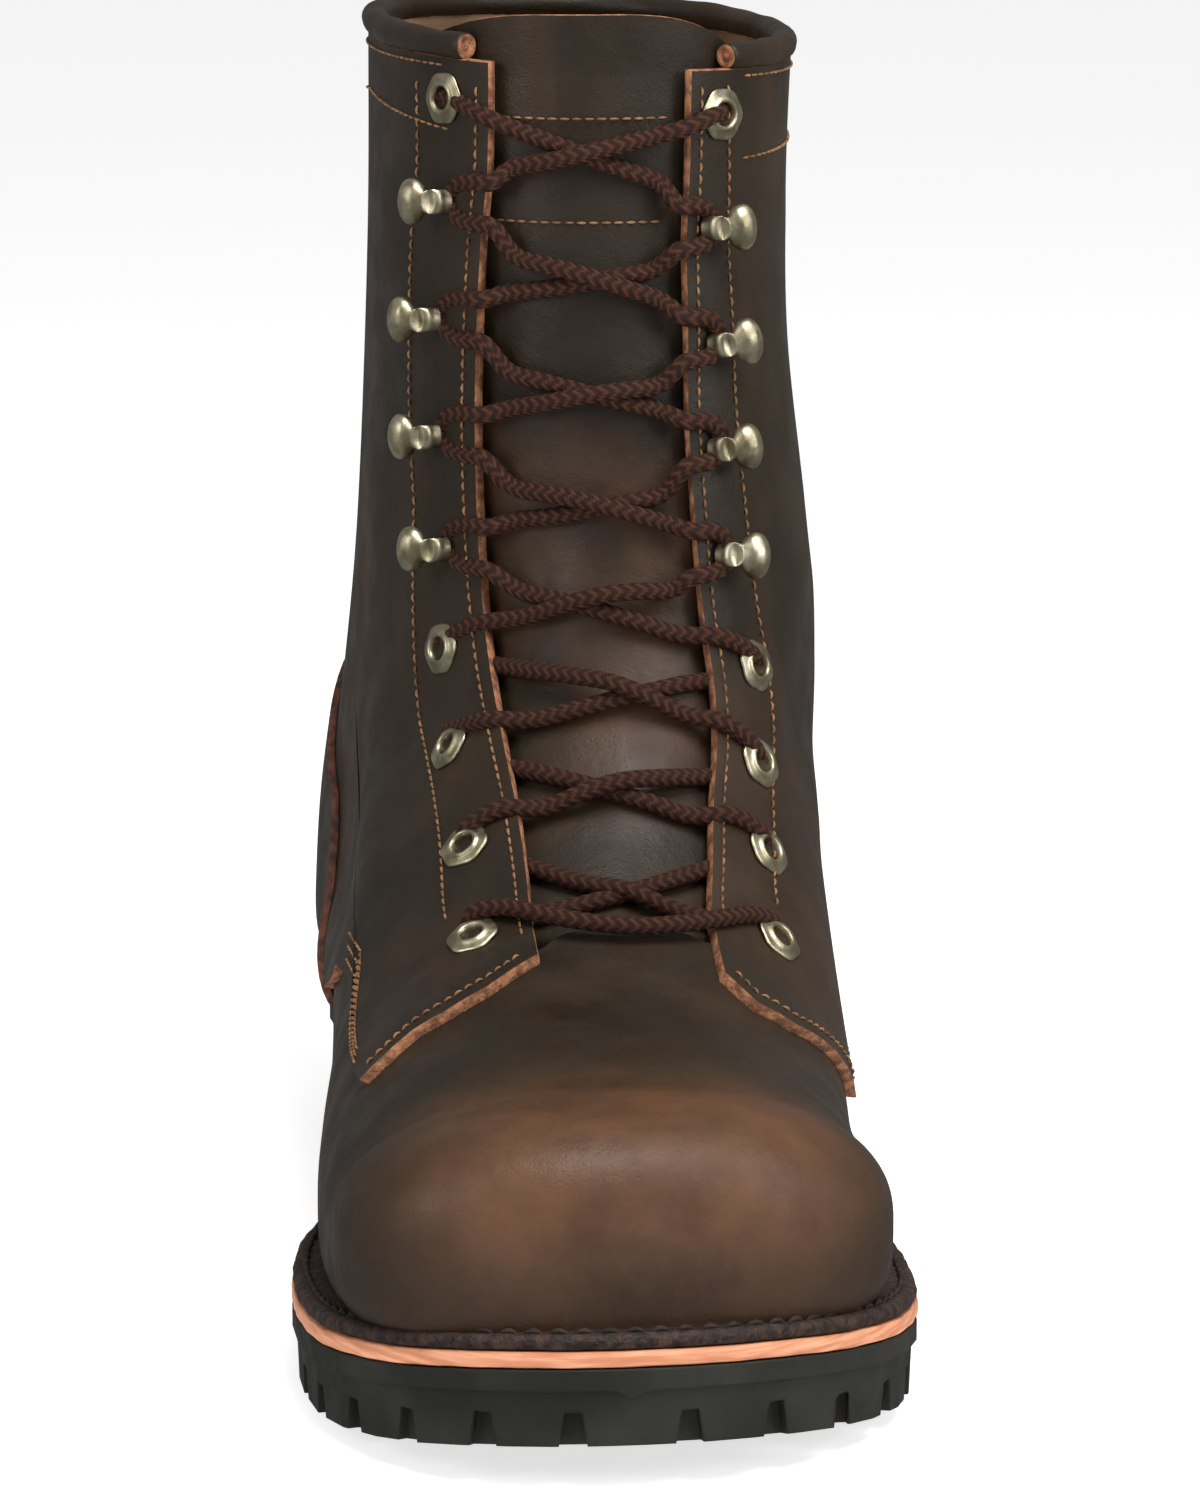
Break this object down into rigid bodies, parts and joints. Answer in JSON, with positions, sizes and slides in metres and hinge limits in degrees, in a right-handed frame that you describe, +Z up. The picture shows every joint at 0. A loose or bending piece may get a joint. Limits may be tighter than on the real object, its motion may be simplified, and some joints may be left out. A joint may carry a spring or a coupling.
{
  "type": "work boot",
  "caption": "Left lace-up leather work boot with a tall shaft, plain safety-shaped toe, rolled collar, eyelets and hooks, leather midsole and lugged rubber sole",
  "frame": {"origin": "on the floor under the middle of the heel block's flat bottom", "axes": "+X to the outer (little-toe) side, +Y from toe to heel, +Z up; the toe points along -Y"},
  "size_m": [0.12, 0.3116, 0.2488],
  "materials": {
    "oiled_leather": "oiled matt pull-up leather, dark brown with a reddish burnished toe",
    "midsole_leather": "orange-tan leather edge, waxed",
    "welt_leather": "dark rough stitched leather",
    "insole_leather": "plain tan leather",
    "sole_rubber": "matt black-olive rubber",
    "antique_brass": "antique brass, satin",
    "lace_cord": "round braided cord, dark red-brown"
  },
  "bodies": {
    "root": {"outsole": "sole_rubber", "heel": "sole_rubber", "midsole": "midsole_leather", "welt": "welt_leather", "insole": "insole_leather", "upper": "oiled_leather", "counter": "oiled_leather", "tongue": "oiled_leather", "collar_roll": "oiled_leather", "eyelet_inner_1": "antique_brass", "eyelet_outer_1": "antique_brass", "hook_inner_2": "antique_brass", "hook_outer_2": "antique_brass", "hook_inner_3": "antique_brass", "hook_outer_3": "antique_brass", "hook_inner_4": "antique_brass", "hook_outer_4": "antique_brass", "hook_inner_5": "antique_brass", "hook_outer_5": "antique_brass", "eyelet_inner_6": "antique_brass", "eyelet_outer_6": "antique_brass", "eyelet_inner_7": "antique_brass", "eyelet_outer_7": "antique_brass", "eyelet_inner_8": "antique_brass", "eyelet_outer_8": "antique_brass", "eyelet_inner_9": "antique_brass", "eyelet_outer_9": "antique_brass", "lace_bar": "lace_cord", "lace_cross_1": "lace_cord", "lace_cross_2": "lace_cord", "lace_cross_3": "lace_cord", "lace_cross_4": "lace_cord", "lace_cross_5": "lace_cord", "lace_cross_6": "lace_cord", "lace_cross_7": "lace_cord", "lace_cross_8": "lace_cord"}
  },
  "joints": []
}
